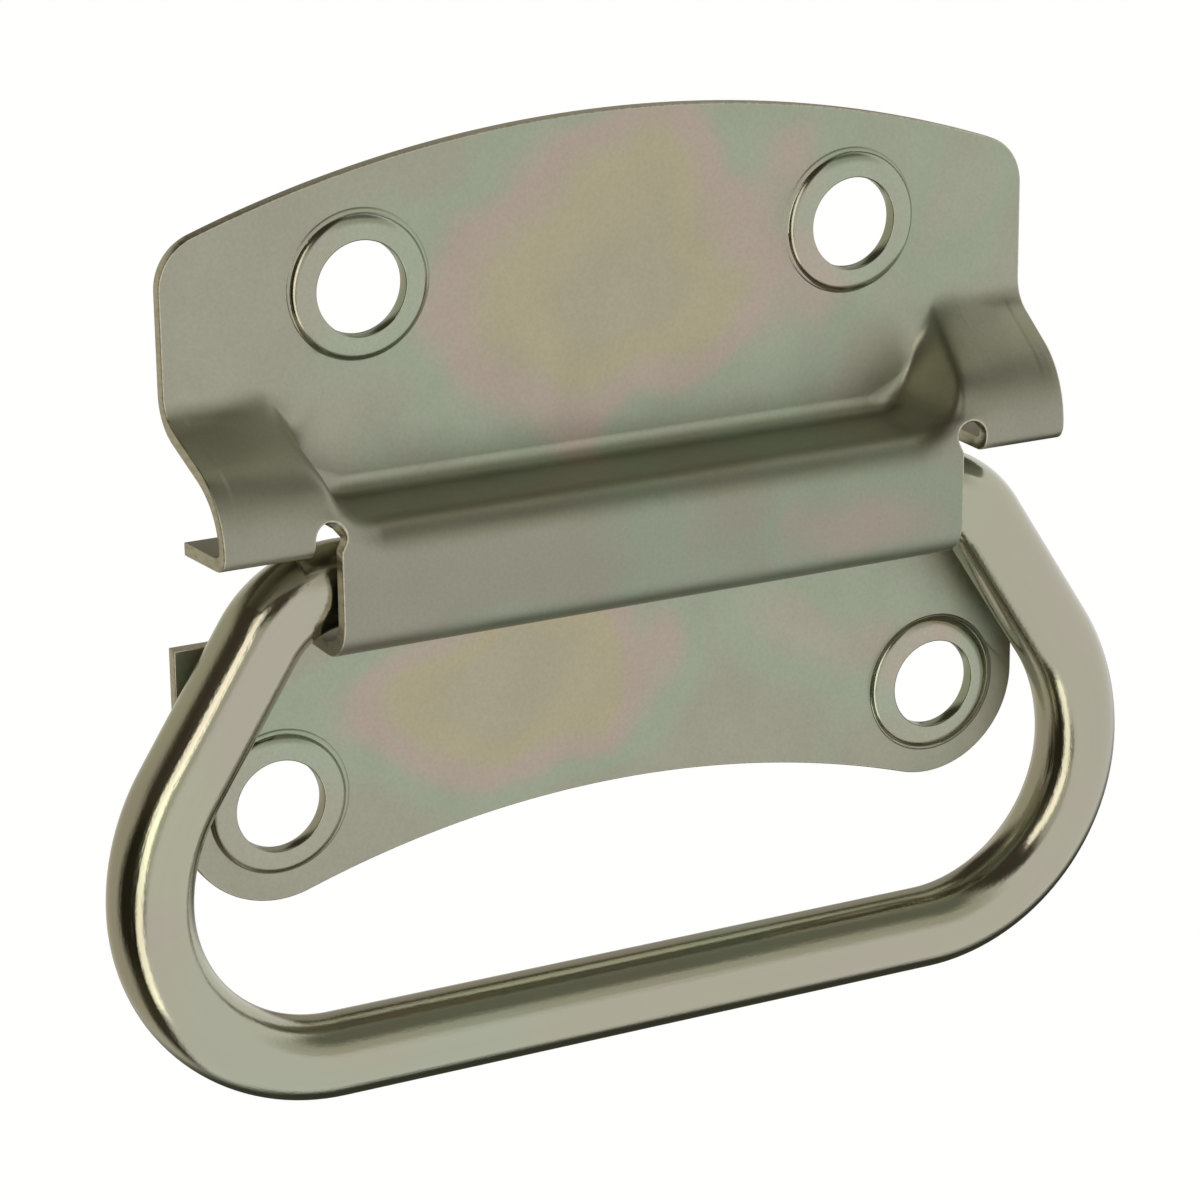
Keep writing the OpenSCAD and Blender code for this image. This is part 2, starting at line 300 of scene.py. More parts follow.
class PlateForm:
    """The front face of the pressed plate, collected as loose faces in plan millimetres."""

    def __init__(self, low, high):
        self.half = high.x / MM
        self.crown = high.z / MM
        self.front = -low.y / MM
        self.lower_y = -HOLE_DROP
        self.faces = []
        self.wing_z = self.front - FULL_R
        self.hollow_z = SHEET + HOLLOW_R
        bends = FULL_R + HOLLOW_R
        slope_len = (self.wing_z - self.hollow_z + bends * math.sin(SLOPE)) / math.cos(SLOPE)
        self.hollow_y = FOLD_Y + bends * math.cos(SLOPE) + slope_len * math.sin(SLOPE)
        self.full_end = FOLD_Y + FULL_R * math.cos(SLOPE)
        self.hollow_start = self.hollow_y - HOLLOW_R * math.cos(SLOPE)
        self.lip_in = BARREL_HALF + NOTCH_W
        self.flange_y = FLOOR_Y - CREASE_R
        self.front_low_y = FLOOR_Y + BARREL_R
        self.wall_in = Vector((-math.cos(WALL_LEAN), math.sin(WALL_LEAN)))
        rise = LEDGE_Y + WALL_CORNER_R - WALL_POINT.y
        across = (rise * math.sin(WALL_LEAN) - WALL_CORNER_R) / math.cos(WALL_LEAN)
        self.wall_c = Vector((WALL_POINT.x + across, LEDGE_Y + WALL_CORNER_R))

    def front_depth(self, y):
        """Depth of the barrel's front and the wing's profile at a height."""
        if y <= FOLD_Y:
            return self.front
        if y <= self.full_end:
            return self.wing_z + math.sqrt(FULL_R**2 - (y - FOLD_Y) ** 2)
        if y <= self.hollow_start:
            return self.wing_z + FULL_R * math.sin(SLOPE) - (y - self.full_end) / math.tan(SLOPE)
        if y < self.hollow_y:
            return self.hollow_z - math.sqrt(HOLLOW_R**2 - (self.hollow_y - y) ** 2)
        return SHEET

    def side_x(self, z):
        """Where the side of a wing has drawn in to, at a depth."""
        return self.half - WING_DRAW * (z - SHEET) / (self.front - SHEET)

    def crest(self, point):
        """Distance inside the wall's top line, and the radius of the crest there."""
        out = point - self.wall_c
        turn = math.atan2(out.y, out.x)
        if out.x < 0:
            return LEDGE_Y - WALL_DRAFT - point.y, BARREL_TOP_R
        if turn > -WALL_LEAN:
            return (WALL_POINT - point).dot(self.wall_in) - WALL_DRAFT, CREST_R
        share = (turn + math.pi / 2) / (math.pi / 2 - WALL_LEAN)
        radius = BARREL_TOP_R + (CREST_R - BARREL_TOP_R) * share
        return out.length - WALL_CORNER_R - WALL_DRAFT, radius

    def crease(self, crest_r):
        """Radius of the crease at the wall's foot, which widens along the ledge as the crest does."""
        share = (crest_r - CREST_R) / (BARREL_TOP_R - CREST_R)
        return CREASE_R + (LEDGE_CREASE_R - CREASE_R) * share

    def pressed_depth(self, point):
        """Depth of the front with the crest over the wall rounded off."""
        depth = self.front_depth(point.y)
        inside, radius = self.crest(point)
        drop = min(radius, CREST_SHARE * (depth - SHEET))
        left = max(0.0, 1.0 - max(0.0, inside) / radius)
        return depth - drop * (1.0 - math.sqrt(1.0 - left**2))

    def wall_path(self):
        """The ledge and the right wing's inner wall in plan: points and directions to the flat side."""
        path = [(Vector((x, LEDGE_Y)), Vector((0, 1))) for x in spread(0, self.wall_c.x, steps=24)]
        for point in arc(self.wall_c, WALL_CORNER_R, -90, -math.degrees(WALL_LEAN), steps=14)[1:]:
            path.append((point, (self.wall_c - point).normalized()))
        start = path[-1][0]
        along = Vector((math.sin(WALL_LEAN), math.cos(WALL_LEAN)))
        fade = WALL_PAST + (WALL_DRAFT + CREST_R) * math.sin(WALL_LEAN)
        length = (self.hollow_y + fade - start.y) / math.cos(WALL_LEAN)
        return path + [(start + along * s, self.wall_in) for s in spread(0, length, steps=26)[1:]]

    def add_grid(self, rows, mirror=True):
        """Quads between rows of points, on both sides of the plate."""
        for low, high in zip(rows, rows[1:]):
            for k in range(len(low) - 1):
                self.add_face([low[k], low[k + 1], high[k + 1], high[k]], mirror)

    def add_face(self, corners, mirror):
        """One face, and its mirror image across the plate's middle."""
        self.faces.append([Vector(p) for p in corners])
        if mirror:
            self.faces.append([Vector((-p[0], p[1], p[2])) for p in corners])

    def add_fill(self, loops, inner, depth, mirror, holes=()):
        """Triangles in plan between the first loop and any other loops, through the inner points."""
        points = [p for loop in loops for p in loop] + list(inner)
        edges = []
        start = 0
        for loop in loops:
            count = len(loop)
            edges += [(start + k, start + (k + 1) % count) for k in range(count)]
            start += count
        # Output type 1 gives the triangles inside the loops. Those in a hole are left out below.
        corners, _, faces, *_ = delaunay_2d_cdt([Vector(p) for p in points], edges, [], 1, TINY)
        for face in faces:
            middle = sum((corners[i] for i in face), Vector((0, 0))) / len(face)
            if all((middle - centre).length > radius for centre, radius in holes):
                self.add_face([(*corners[i], depth(corners[i])) for i in face], mirror)

    def wall_strip(self):
        """Crease, wall and the start of the crest along the ledge and up the wing."""
        columns = []
        for point, inward in self.wall_path():
            top = point - inward * WALL_DRAFT
            _, radius = self.crest(top)
            crease_r = self.crease(radius)
            height = self.front_depth(top.y) - SHEET
            foot = min(crease_r, CREASE_SHARE * height)
            drop = min(radius, CREST_SHARE * height)
            column = []
            for turn in turns(0, 90, steps=7):
                place = point + inward * crease_r * (1 - math.sin(turn))
                column.append((*place, SHEET + foot * (1 - math.cos(turn))))
            for share in spread(0, 1, steps=4)[1:]:
                depth = SHEET + foot + share * (height - foot - drop)
                column.append((*(point - inward * WALL_DRAFT * share), depth))
            for turn in turns(0, CREST_STRIP_DEG, steps=5)[1:]:
                place = top - inward * radius * (1 - math.cos(turn))
                column.append((*place, self.pressed_depth(place)))
            columns.append(column)
        self.add_grid(columns)
        return columns

    def front_columns(self):
        """Places across the barrel where its front, floor and flange share points."""
        return spread(0, BARREL_HALF, steps=26)

    def lip_columns(self, z):
        """Places across the right lip, at a depth."""
        return spread(self.lip_in, self.side_x(z), LIP_STEPS)

    def front_outline(self, top_line):
        """Outline of the right half of barrel and wing in plan, from the line under their crest."""
        end_y = top_line[-1].y
        outline = list(top_line)
        outline += [Vector((x, end_y)) for x in spread(top_line[-1].x, self.half, LIP_STEPS)[1:]]
        side = [Vector((self.side_x(self.front_depth(y)), y)) for y in spread(end_y, FOLD_Y, steps=30)]
        outline += side[1:]
        outline += [Vector((x, FOLD_Y)) for x in reversed(self.lip_columns(self.front)[:-1])]
        notch_r = (NOTCH_W + NOTCH_BITE) / 2
        notch_y = FOLD_Y + NOTCH_RISE - notch_r
        outline += arc((self.lip_in - notch_r, notch_y), notch_r, 0, NOTCH_TURN_DEG, steps=16)
        barrel_end = spread(notch_y - notch_r, self.front_low_y, steps=12)
        outline += [Vector((BARREL_HALF, y)) for y in barrel_end]
        outline += [Vector((x, self.front_low_y)) for x in reversed(self.front_columns()[:-1])]
        round_top = LEDGE_Y - WALL_DRAFT
        middle = [round_top - BARREL_TOP_R * (1 - math.cos(turn)) for turn in reversed(CREST_TURNS)]
        return outline + [Vector((0, y)) for y in middle]

    def front_fill(self, columns):
        """Barrel front and wing front in one piece, cut out by the relief notch."""
        top_line = [Vector(column[-1][:2]) for column in columns]
        outline = self.front_outline(top_line)
        inner = []
        for point, inward in self.wall_path():
            top = point - inward * WALL_DRAFT
            _, radius = self.crest(top)
            inner += [top - inward * radius * (1 - math.cos(turn)) for turn in CREST_TURNS]
        for y in spread(FOLD_Y, top_line[-1].y, steps=32)[1:-1]:
            for x in spread(self.lip_in, self.side_x(self.front_depth(y)), LIP_STEPS)[:-1]:
                inside, radius = self.crest(Vector((x, y)))
                if inside > radius + CREST_CLEAR:
                    inner.append(Vector((x, y)))
        kept = [p for p in inner if inside_by(p, outline, FILL_CLEAR)]
        self.add_fill([outline], kept, self.pressed_depth, mirror=True)

    def lip_strip(self):
        """Fold and stop lip under the right wing."""
        profile = []
        for turn in turns(0, 90, steps=8):
            profile.append((FOLD_Y - FOLD_R * math.sin(turn), self.front - FOLD_R * (1 - math.cos(turn))))
        profile += [(FOLD_Y - FOLD_R, z) for z in spread(self.front - FOLD_R, LIP_BACK, steps=8)[1:]]
        self.add_grid([[(x, y, z) for x in self.lip_columns(z)] for y, z in profile])

    def floor_strip(self):
        """Lower round, floor and lower crease of the barrel."""
        profile = []
        for turn in turns(0, 90, steps=8):
            y = self.front_low_y - BARREL_R * math.sin(turn)
            profile.append((y, self.front - BARREL_R * (1 - math.cos(turn))))
        crease_z = SHEET + CREASE_R
        profile += [(FLOOR_Y, z) for z in spread(self.front - BARREL_R, crease_z, steps=5)[1:-1]]
        for turn in turns(0, 90, steps=8):
            profile.append((FLOOR_Y - CREASE_R * (1 - math.cos(turn)), crease_z - CREASE_R * math.sin(turn)))
        self.add_grid([[(x, y, z) for x in self.front_columns()] for y, z in profile])

    def ring(self, centre, shift_deg):
        """Raised ring round a screw hole. Returns the circle where it leaves the flange."""
        turn = math.radians(shift_deg)
        shift = Vector((math.cos(turn), math.sin(turn))) * RING_SHIFT
        rows = []
        for radius, height, share in RING_SECTION:
            circle = arc(centre + shift * share, radius, 0, 360, RING_SIDES)
            circle[-1] = circle[0]
            rows.append([(*p, SHEET + height) for p in circle])
        self.add_grid(rows, mirror=False)
        return [Vector(p[:2]) for p in rows[0][:-1]]

    def flange_fill(self, right_half, rings):
        """A flat flange with rings in it, from the right half of its outline, top to bottom."""
        left_half = [Vector((-p.x, p.y)) for p in reversed(right_half) if p.x > TINY]
        clear_r = (RING_R + RING_FOOT) * math.cos(math.pi / RING_SIDES)
        holes = [(sum(loop, Vector((0, 0))) / len(loop), clear_r) for loop in rings]
        self.add_fill([right_half + left_half, *rings], [], lambda p: SHEET, False, holes)

    def upper_flange(self, columns):
        """Arched upper flange, down to the creases of the ledge and the wings."""
        crown_c = Vector((0, self.crown - CROWN_R))
        corner_x = self.half - CORNER_R
        corner_y = crown_c.y + math.sqrt((CROWN_R - CORNER_R) ** 2 - corner_x**2)
        touch = math.degrees(math.atan2(corner_y - crown_c.y, corner_x))
        outline = arc(crown_c, CROWN_R, 90, touch, steps=40)
        outline += arc((corner_x, corner_y), CORNER_R, touch, 0, steps=14)[1:]
        end = columns[-1][-1]
        outline += [Vector((self.half, y)) for y in spread(corner_y, end[1], steps=6)[1:]]
        outline += [Vector((x, end[1])) for x in reversed(spread(end[0], self.half, LIP_STEPS)[:-1])]
        outline += [Vector(p[:2]) for p in reversed(columns[-1][:-1])]
        outline += [Vector(column[0][:2]) for column in reversed(columns[:-1])]
        spots = {"upper_left": -UPPER_SPACING / 2, "upper_right": UPPER_SPACING / 2}
        rings = [self.ring(Vector((x, 0)), RING_SHIFT_DEG[name]) for name, x in spots.items()]
        self.flange_fill(outline, rings)

    def lower_flange(self):
        """Lower flange with its ears, lobes and hollow lower edge."""
        ear_in = BARREL_HALF + EAR_SLIT
        ear_y = self.flange_y + EAR_RISE
        lobe_x = LOWER_SPACING / 2
        lobe_r = self.half - lobe_x
        hollow_top = self.lower_y - lobe_r + HOLLOW_RISE
        lift = self.lower_y - hollow_top
        edge_r = (lobe_x**2 + lift**2 - lobe_r**2) / (2 * (lobe_r - lift))
        edge_c = Vector((0, hollow_top - edge_r))
        touch = math.degrees(math.atan2(edge_c.y - self.lower_y, -lobe_x))
        outline = [Vector((x, self.flange_y)) for x in self.front_columns()]
        outline += [Vector((ear_in, self.flange_y)), Vector((ear_in, ear_y)), Vector((self.half, ear_y))]
        outline += arc((lobe_x, self.lower_y), lobe_r, 0, touch, steps=36)
        outline += arc(edge_c, edge_r, touch + 180, 90, steps=30)[1:]
        spots = {"lower_left": -lobe_x, "lower_right": lobe_x}
        rings = [self.ring(Vector((x, self.lower_y)), RING_SHIFT_DEG[name]) for name, x in spots.items()]
        self.flange_fill(outline, rings)

    def front_face(self):
        """The whole front face as one connected bmesh, facing away from the wall."""
        columns = self.wall_strip()
        self.front_fill(columns)
        self.lip_strip()
        self.floor_strip()
        self.upper_flange(columns)
        self.lower_flange()
        face = bmesh.new()
        for corners in self.faces:
            face.faces.new([face.verts.new(p) for p in corners])
        bmesh.ops.remove_doubles(face, verts=face.verts, dist=MERGE_WITHIN)
        bmesh.ops.dissolve_degenerate(face, edges=face.edges, dist=SLIVER)
        bmesh.ops.recalc_face_normals(face, faces=face.faces)
        highest = max(face.faces, key=lambda f: f.calc_center_median().y)
        if highest.normal.z < 0:
            bmesh.ops.reverse_faces(face, faces=face.faces)
        self.flow(face)
        face.normal_update()
        return face

    def flow(self, face):
        """Lets the drawn metal flow smooth where each wing's wall runs out, and a little along it."""
        moved = []
        for vert in face.verts:
            place = Vector((abs(vert.co.x), vert.co.y))
            near = max(0.0, 1.0 - (place - RUN_OUT).length / RUN_OUT_R)
            weight = near * near * (3.0 - 2.0 * near)
            inside, _ = self.crest(place)
            beside = place.x > self.wall_c.x and place.y > FOLD_Y + NOTCH_RISE
            if beside and abs(inside) < WALL_FLOW_REACH:
                weight = max(weight, WALL_FLOW)
            if weight > 0.0 and not vert.is_boundary:
                moved.append((vert, weight, [e.other_vert(vert) for e in vert.link_edges]))
        for _ in range(FLOW_PASSES):
            targets = [sum((n.co for n in ring), Vector()) / len(ring) for _, _, ring in moved]
            for (vert, weight, _), target in zip(moved, targets):
                vert.co += (target - vert.co) * FLOW_RATE * weight


def inside_by(point, outline, margin):
    """Whether a plan point lies inside an outline, at least a margin away from it."""
    inside = False
    for a, b in zip(outline, outline[1:] + outline[:1]):
        along = b - a
        share = max(0.0, min(1.0, (point - a).dot(along) / along.length_squared))
        if (point - a - along * share).length < margin:
            return False
        if (a.y > point.y) != (b.y > point.y):
            if point.x < a.x + along.x * (point.y - a.y) / along.y:
                inside = not inside
    return inside


def in_ring(point, beyond):
    """Whether a plan point lies on one of the four raised rings, or up to a distance beyond its edge."""
    for x, y in ((UPPER_SPACING / 2, 0.0), (LOWER_SPACING / 2, -HOLE_DROP)):
        if math.hypot(abs(point.x) - x, point.y - y) < RING_R + beyond:
            return True
    return False


def rim_rows(face):
    """The rim's points in order, and for each a row of points over the cut edge, front to back."""
    after = {}
    for edge in face.edges:
        if edge.is_boundary:
            loop = edge.link_loops[0]
            after[loop.vert] = loop.link_loop_next.vert
    before = {b: a for a, b in after.items()}
    rows = {}
    for vert, following in after.items():
        normal = vert.normal
        out_1 = (vert.co - before[vert].co).cross(normal).normalized()
        out_2 = (following.co - vert.co).cross(normal).normalized()
        out = (out_1 + out_2) / max(MITRE_LIMIT, 1.0 + out_1.dot(out_2))
        pierced = in_ring(vert.co, 0.0)
        front_r = HOLE_LIP if pierced else EDGE_FRONT
        thick = HOLE_WALL if pierced else SHEET
        row = []
        for turn in turns(0, 90, steps=3):
            inset = out * front_r * (1 - math.sin(turn))
            row.append(vert.co - inset - normal * front_r * (1 - math.cos(turn)))
        for turn in turns(90, 0, steps=2):
            inset = out * EDGE_BACK * (1 - math.sin(turn))
            row.append(vert.co - inset - normal * (thick - EDGE_BACK * (1 - math.cos(turn))))
        rows[vert] = row
    return after, rows


def sheet_mesh(face):
    """Gives the front face its thickness, a back and rounded cut edges, and notes the burnished rings."""
    after, rows = rim_rows(face)
    points = []
    fronts = {}
    backs = {}
    for vert in face.verts:
        fronts[vert] = len(points)
        points.append(rows[vert][0] if vert in rows else vert.co)
        backs[vert] = len(points)
        through = Vector((0, 0, 1)) if in_ring(vert.co, 2 * RING_SHIFT) else vert.normal
        points.append(rows[vert][-1] if vert in rows else vert.co - through * SHEET)
    faces = [[fronts[v] for v in f.verts] for f in face.faces]
    faces += [[backs[v] for v in reversed(f.verts)] for f in face.faces]
    rims = {}
    for vert, row in rows.items():
        rims[vert] = [fronts[vert], *range(len(points), len(points) + len(row) - 2), backs[vert]]
        points += row[1:-1]
    sheared = []
    for vert, following in after.items():
        a = rims[vert]
        b = rims[following]
        if not in_ring(vert.co, 0.0):
            sheared += range(len(faces), len(faces) + len(a) - 1)
        faces += [[b[k], a[k], a[k + 1], b[k + 1]] for k in range(len(a) - 1)]
    mesh = bpy.data.meshes.new("pressed_plate")
    mesh.from_pydata([to_scene((p.x, p.y, max(0.0, p.z))) for p in points], [], faces)
    for index in sheared:
        mesh.polygons[index].material_index = 1
    burnished = mesh.attributes.new("burnished", "FLOAT", "POINT")
    for index, point in enumerate(points):
        burnished.data[index].value = float(in_ring(point, -BURNISH_INSET))
    return mesh


def finished_piece(name, mesh, materials):
    """A smooth-shaded piece whose flats stay flat, as a plain mesh at the origin."""
    whole = bmesh.new()
    whole.from_mesh(mesh)
    bmesh.ops.recalc_face_normals(whole, faces=whole.faces)
    for face in whole.faces:
        face.smooth = True
    for edge in whole.edges:
        edge.smooth = edge.calc_face_angle(math.pi) < SHARP_EDGE
    whole.to_mesh(mesh)
    whole.free()
    for material in materials:
        mesh.materials.append(material)
    rough = bpy.data.objects.new(name + "_rough", mesh)
    bpy.context.scene.collection.objects.link(rough)
    weights = rough.modifiers.new("flat_faces", "WEIGHTED_NORMAL")
    weights.keep_sharp = True
    graph = bpy.context.evaluated_depsgraph_get()
    plain = bpy.data.meshes.new_from_object(rough.evaluated_get(graph), depsgraph=graph)
    bpy.data.objects.remove(rough)
    piece = bpy.data.objects.new(name, plain)
    bpy.context.scene.collection.objects.link(piece)
    return piece


def make_plate(materials):
    """The pressed plate: one sheet with flanges, barrel, wings and lips."""
    low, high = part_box("mounting_plate")
    form = PlateForm(low, high)
    face = form.front_face()
    mesh = sheet_mesh(face)
    face.free()
    plate = finished_piece("pressed_plate", mesh, materials)
    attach(plate, "plate")
    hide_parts("mounting_plate")


def bail_path():
    """The closed centre line of the bail in plan, from the joint in the middle of its pivot."""
    bar_y = PIVOT_Y - BAIL_DROP
    shoulder_c = Vector((PIVOT_HALF, PIVOT_Y - SHOULDER_R))
    flare_c = Vector((BAIL_HALF_W - FLARE_R, bar_y + BOTTOM_R))
    bottom_c = Vector((BAIL_HALF_W - BOTTOM_R, bar_y + BOTTOM_R))
    reach = flare_c - shoulder_c
    lean = math.asin((FLARE_R - SHOULDER_R) / reach.length)
    turn = math.degrees(math.atan2(-reach.y, reach.x) - lean)
    shoulder = arc(shoulder_c, SHOULDER_R, 90, 90 - turn, steps=20)
    flare = arc(flare_c, FLARE_R, 90 - turn, 0, steps=14)
    right = [Vector((x, PIVOT_Y)) for x in spread(0, PIVOT_HALF, steps=12)[:-1]]
    right += shoulder
    right += [shoulder[-1].lerp(flare[0], share) for share in spread(0, 1, steps=8)[1:-1]]
    right += flare
    right += arc(bottom_c, BOTTOM_R, 0, -90, steps=34)[1:]
    right += [Vector((x, bar_y)) for x in spread(bottom_c.x, 0, steps=12)[1:]]
    left = [Vector((-p.x, p.y)) for p in reversed(right[1:-1])]
    return right + left + [Vector((-JOINT_GAP, PIVOT_Y))]


def sweep_tree():
    """Nodes that sweep a round rod along a path and note where each point was on the straight rod."""
    tree = bpy.data.node_groups.new("bent_rod", "GeometryNodeTree")
    sockets = {}
    for name, kind in (("Path", "Geometry"), ("Radius", "Float"), ("Sides", "Int"), ("Finish", "Material")):
        socket = tree.interface.new_socket(name, in_out="INPUT", socket_type="NodeSocket" + kind)
        sockets[name] = socket.identifier
    tree.interface.new_socket("Rod", in_out="OUTPUT", socket_type="NodeSocketGeometry")
    start = add_node(tree, "NodeGroupInput")
    end = add_node(tree, "NodeGroupOutput")
    place = add_node(tree, "GeometryNodeSplineParameter")
    line = add_node(tree, "GeometryNodeMeshToCurve", {"Mesh": start.outputs["Path"]})
    along = add_node(tree, "GeometryNodeCaptureAttribute", {0: line.outputs[0]})
    along.capture_items.new("FLOAT", "along")
    tree.links.new(place.outputs["Length"], along.inputs["along"])
    circle = add_node(
        tree,
        "GeometryNodeCurvePrimitiveCircle",
        {"Resolution": start.outputs["Sides"], "Radius": start.outputs["Radius"]},
    )
    around = add_node(tree, "GeometryNodeCaptureAttribute", {0: circle.outputs[0]})
    around.capture_items.new("FLOAT", "around")
    tree.links.new(place.outputs["Factor"], around.inputs["around"])
    rod = add_node(
        tree,
        "GeometryNodeCurveToMesh",
        {"Curve": along.outputs[0], "Profile Curve": around.outputs[0]},
    )
    angle = add_node(
        tree, "ShaderNodeMath", {0: around.outputs["around"]}, {1: math.tau}, operation="MULTIPLY"
    )
    parts = {"Z": along.outputs["along"]}
    for axis, operation in (("X", "COSINE"), ("Y", "SINE")):
        wave = add_node(tree, "ShaderNodeMath", {0: angle.outputs[0]}, operation=operation)
        parts[axis] = add_node(
            tree,
            "ShaderNodeMath",
            {0: wave.outputs[0], 1: start.outputs["Radius"]},
            operation="MULTIPLY",
        ).outputs[0]
    straight = add_node(tree, "ShaderNodeCombineXYZ", parts)
    noted = add_node(
        tree,
        "GeometryNodeStoreNamedAttribute",
        {"Geometry": rod.outputs[0], "Value": straight.outputs[0]},
        {"Name": "straight_rod"},
        data_type="FLOAT_VECTOR",
    )
    real = add_node(tree, "GeometryNodeRealizeInstances", {0: noted.outputs[0]})
    shown = add_node(
        tree,
        "GeometryNodeSetMaterial",
        {"Geometry": real.outputs[0], "Material": start.outputs["Finish"]},
    )
    tree.links.new(shown.outputs[0], end.inputs[0])
    return tree, sockets


def make_bail(material):
    """The bail: one round rod bent to a flared loop."""
    path = bail_path()
    count = len(path)
    mesh = bpy.data.meshes.new("bail_path")
    edges = [(k, (k + 1) % count) for k in range(count)]
    mesh.from_pydata([to_scene((p.x, p.y, PIVOT_Z)) for p in path], edges, [])
    line = bpy.data.objects.new("bail_path", mesh)
    bpy.context.scene.collection.objects.link(line)
    tree, sockets = sweep_tree()
    sweep = line.modifiers.new("bent_rod", "NODES")
    sweep.node_group = tree
    for name, value in (("Radius", ROD_R * MM), ("Sides", ROD_SIDES), ("Finish", material)):
        sweep[sockets[name]] = value
    graph = bpy.context.evaluated_depsgraph_get()
    swept = bpy.data.meshes.new_from_object(line.evaluated_get(graph), depsgraph=graph)
    bpy.data.objects.remove(line)
    bail = finished_piece("bent_bail", swept, [])
    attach(bail, "bail")
    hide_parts("bail_handle")


def make_camera():
    """The camera at the photograph's viewing angle."""
    back = Vector(
        (
            math.sin(CAMERA_AZIMUTH) * math.cos(CAMERA_ELEVATION),
            -math.cos(CAMERA_AZIMUTH) * math.cos(CAMERA_ELEVATION),
            math.sin(CAMERA_ELEVATION),
        )
    )
    right = Vector((0, 0, 1)).cross(back).normalized()
    up = back.cross(right)
    turned_right = math.cos(CAMERA_ROLL) * right + math.sin(CAMERA_ROLL) * up
    turned_up = math.cos(CAMERA_ROLL) * up - math.sin(CAMERA_ROLL) * right
    data = bpy.data.cameras.new("camera")
    data.sensor_width = SENSOR_WIDTH_MM
    data.lens = LENS_MM
    data.clip_start = CAMERA_NEAR
    camera = bpy.data.objects.new("camera", data)
    turn = Matrix((turned_right, turned_up, back)).transposed()
    camera.matrix_world = Matrix.Translation(CAMERA_TARGET + back * CAMERA_DISTANCE) @ turn.to_4x4()
    bpy.context.scene.collection.objects.link(camera)
    bpy.context.scene.camera = camera


def seen_as_white(tree):
    """1 for rays that see the floor directly, in a mirror or through glass, else 0."""
    path = add_node(tree, "ShaderNodeLightPath")
    mirror = add_node(
        tree,
        "ShaderNodeMath",
        {0: path.outputs["Is Camera Ray"], 1: path.outputs["Is Glossy Ray"]},
        operation="MAXIMUM",
    )
    return add_node(
        tree,
        "ShaderNodeMath",
        {0: mirror.outputs[0], 1: path.outputs["Is Transmission Ray"]},
        operation="MAXIMUM",
    ).outputs[0]


def make_floor(low_z):
    """The pale floor, which shows white and still takes the handle's shadow."""
    mesh = bpy.data.meshes.new("floor")
    corners = [(-1, -1), (1, -1), (1, 1), (-1, 1)]
    level = low_z - FLOOR_DROP
    mesh.from_pydata([(x * FLOOR_HALF, y * FLOOR_HALF, level) for x, y in corners], [], [(0, 1, 2, 3)])
    floor = bpy.data.objects.new("floor", mesh)
    bpy.context.scene.collection.objects.link(floor)
    material, output = new_material("matt_white_paper")
    tree = material.node_tree
    glow = add_node(
        tree, "ShaderNodeMath", {0: seen_as_white(tree)}, {1: FLOOR_GLOW}, operation="MULTIPLY"
    )
    shine = add_node(tree, "ShaderNodeEmission", {"Strength": glow.outputs[0]})
    paper = add_node(tree, "ShaderNodeBsdfDiffuse", values={"Color": linear(FLOOR_COLOUR)})
    both = add_node(tree, "ShaderNodeAddShader", {0: shine.outputs[0], 1: paper.outputs[0]})
    tree.links.new(both.outputs[0], output.inputs["Surface"])
    mesh.materials.append(material)
    # The metal mirrors the studio in the world instead of the paper.
    floor.visible_glossy = False


def make_world():
    """White for the camera, and for everything else a white tent in a dimmer room."""
    world = bpy.data.worlds.new("studio")
    bpy.context.scene.world = world
    world.use_nodes = True
    tree = world.node_tree
    tree.nodes.clear()
    output = add_node(tree, "ShaderNodeOutputWorld")
    path = add_node(tree, "ShaderNodeLightPath")
    direction = add_node(tree, "ShaderNodeTexCoord").outputs["Generated"]
    tone = None
    for name, (axis, (start, full), colour) in STUDIO.items():
        cosine = add_node(
            tree,
            "ShaderNodeVectorMath",
            {0: direction},
            {1: Vector(axis).normalized()},
            operation="DOT_PRODUCT",
        )
        amount = add_node(
            tree,
            "ShaderNodeMapRange",
            {"Value": cosine.outputs["Value"]},
            {"From Min": start, "From Max": full},
            interpolation_type="SMOOTHSTEP",
        )
        # Inputs 6 and 7 and output 2 are this node's sockets for colours.
        laid_over = add_node(
            tree,
            "ShaderNodeMix",
            {"Factor": amount.outputs["Result"]},
            {6: linear(ROOM_COLOUR), 7: linear(colour)},
            data_type="RGBA",
            label=name,
        )
        if tone is not None:
            tree.links.new(tone, laid_over.inputs[6])
        tone = laid_over.outputs[2]
    lit = add_node(tree, "ShaderNodeBackground", {"Color": tone})
    white = add_node(tree, "ShaderNodeBackground", values={"Color": linear("#FFFFFF")})
    both = add_node(
        tree,
        "ShaderNodeMixShader",
        {0: path.outputs["Is Camera Ray"], 1: lit.outputs[0], 2: white.outputs[0]},
    )
    tree.links.new(both.outputs[0], output.inputs["Surface"])


def make_soft_box():
    """One tall soft box at the front left."""
    data = bpy.data.lights.new("soft_box", "AREA")
    data.shape = "RECTANGLE"
    data.size = LAMP_WIDTH
    data.size_y = LAMP_HEIGHT
    data.energy = LAMP_STRENGTH * math.pi * LAMP_WIDTH * LAMP_HEIGHT
    data.color = linear(LAMP_COLOUR)[:3]
    lamp = bpy.data.objects.new("soft_box", data)
    lamp.location = LAMP_PLACE
    lamp.rotation_euler = (-LAMP_PLACE).to_track_quat("-Z", "Y").to_euler()
    bpy.context.scene.collection.objects.link(lamp)


def per_mm(size_mm):
    """The scale at which a pattern's largest lumps are about a size in millimetres across."""
    return 1.0 / (size_mm * MM)


def carried(low, high, source=NOISE_RANGE):
    """Socket values that carry a source's range over to low and high."""
    return {"From Min": source[0], "From Max": source[1], "To Min": low, "To Max": high}


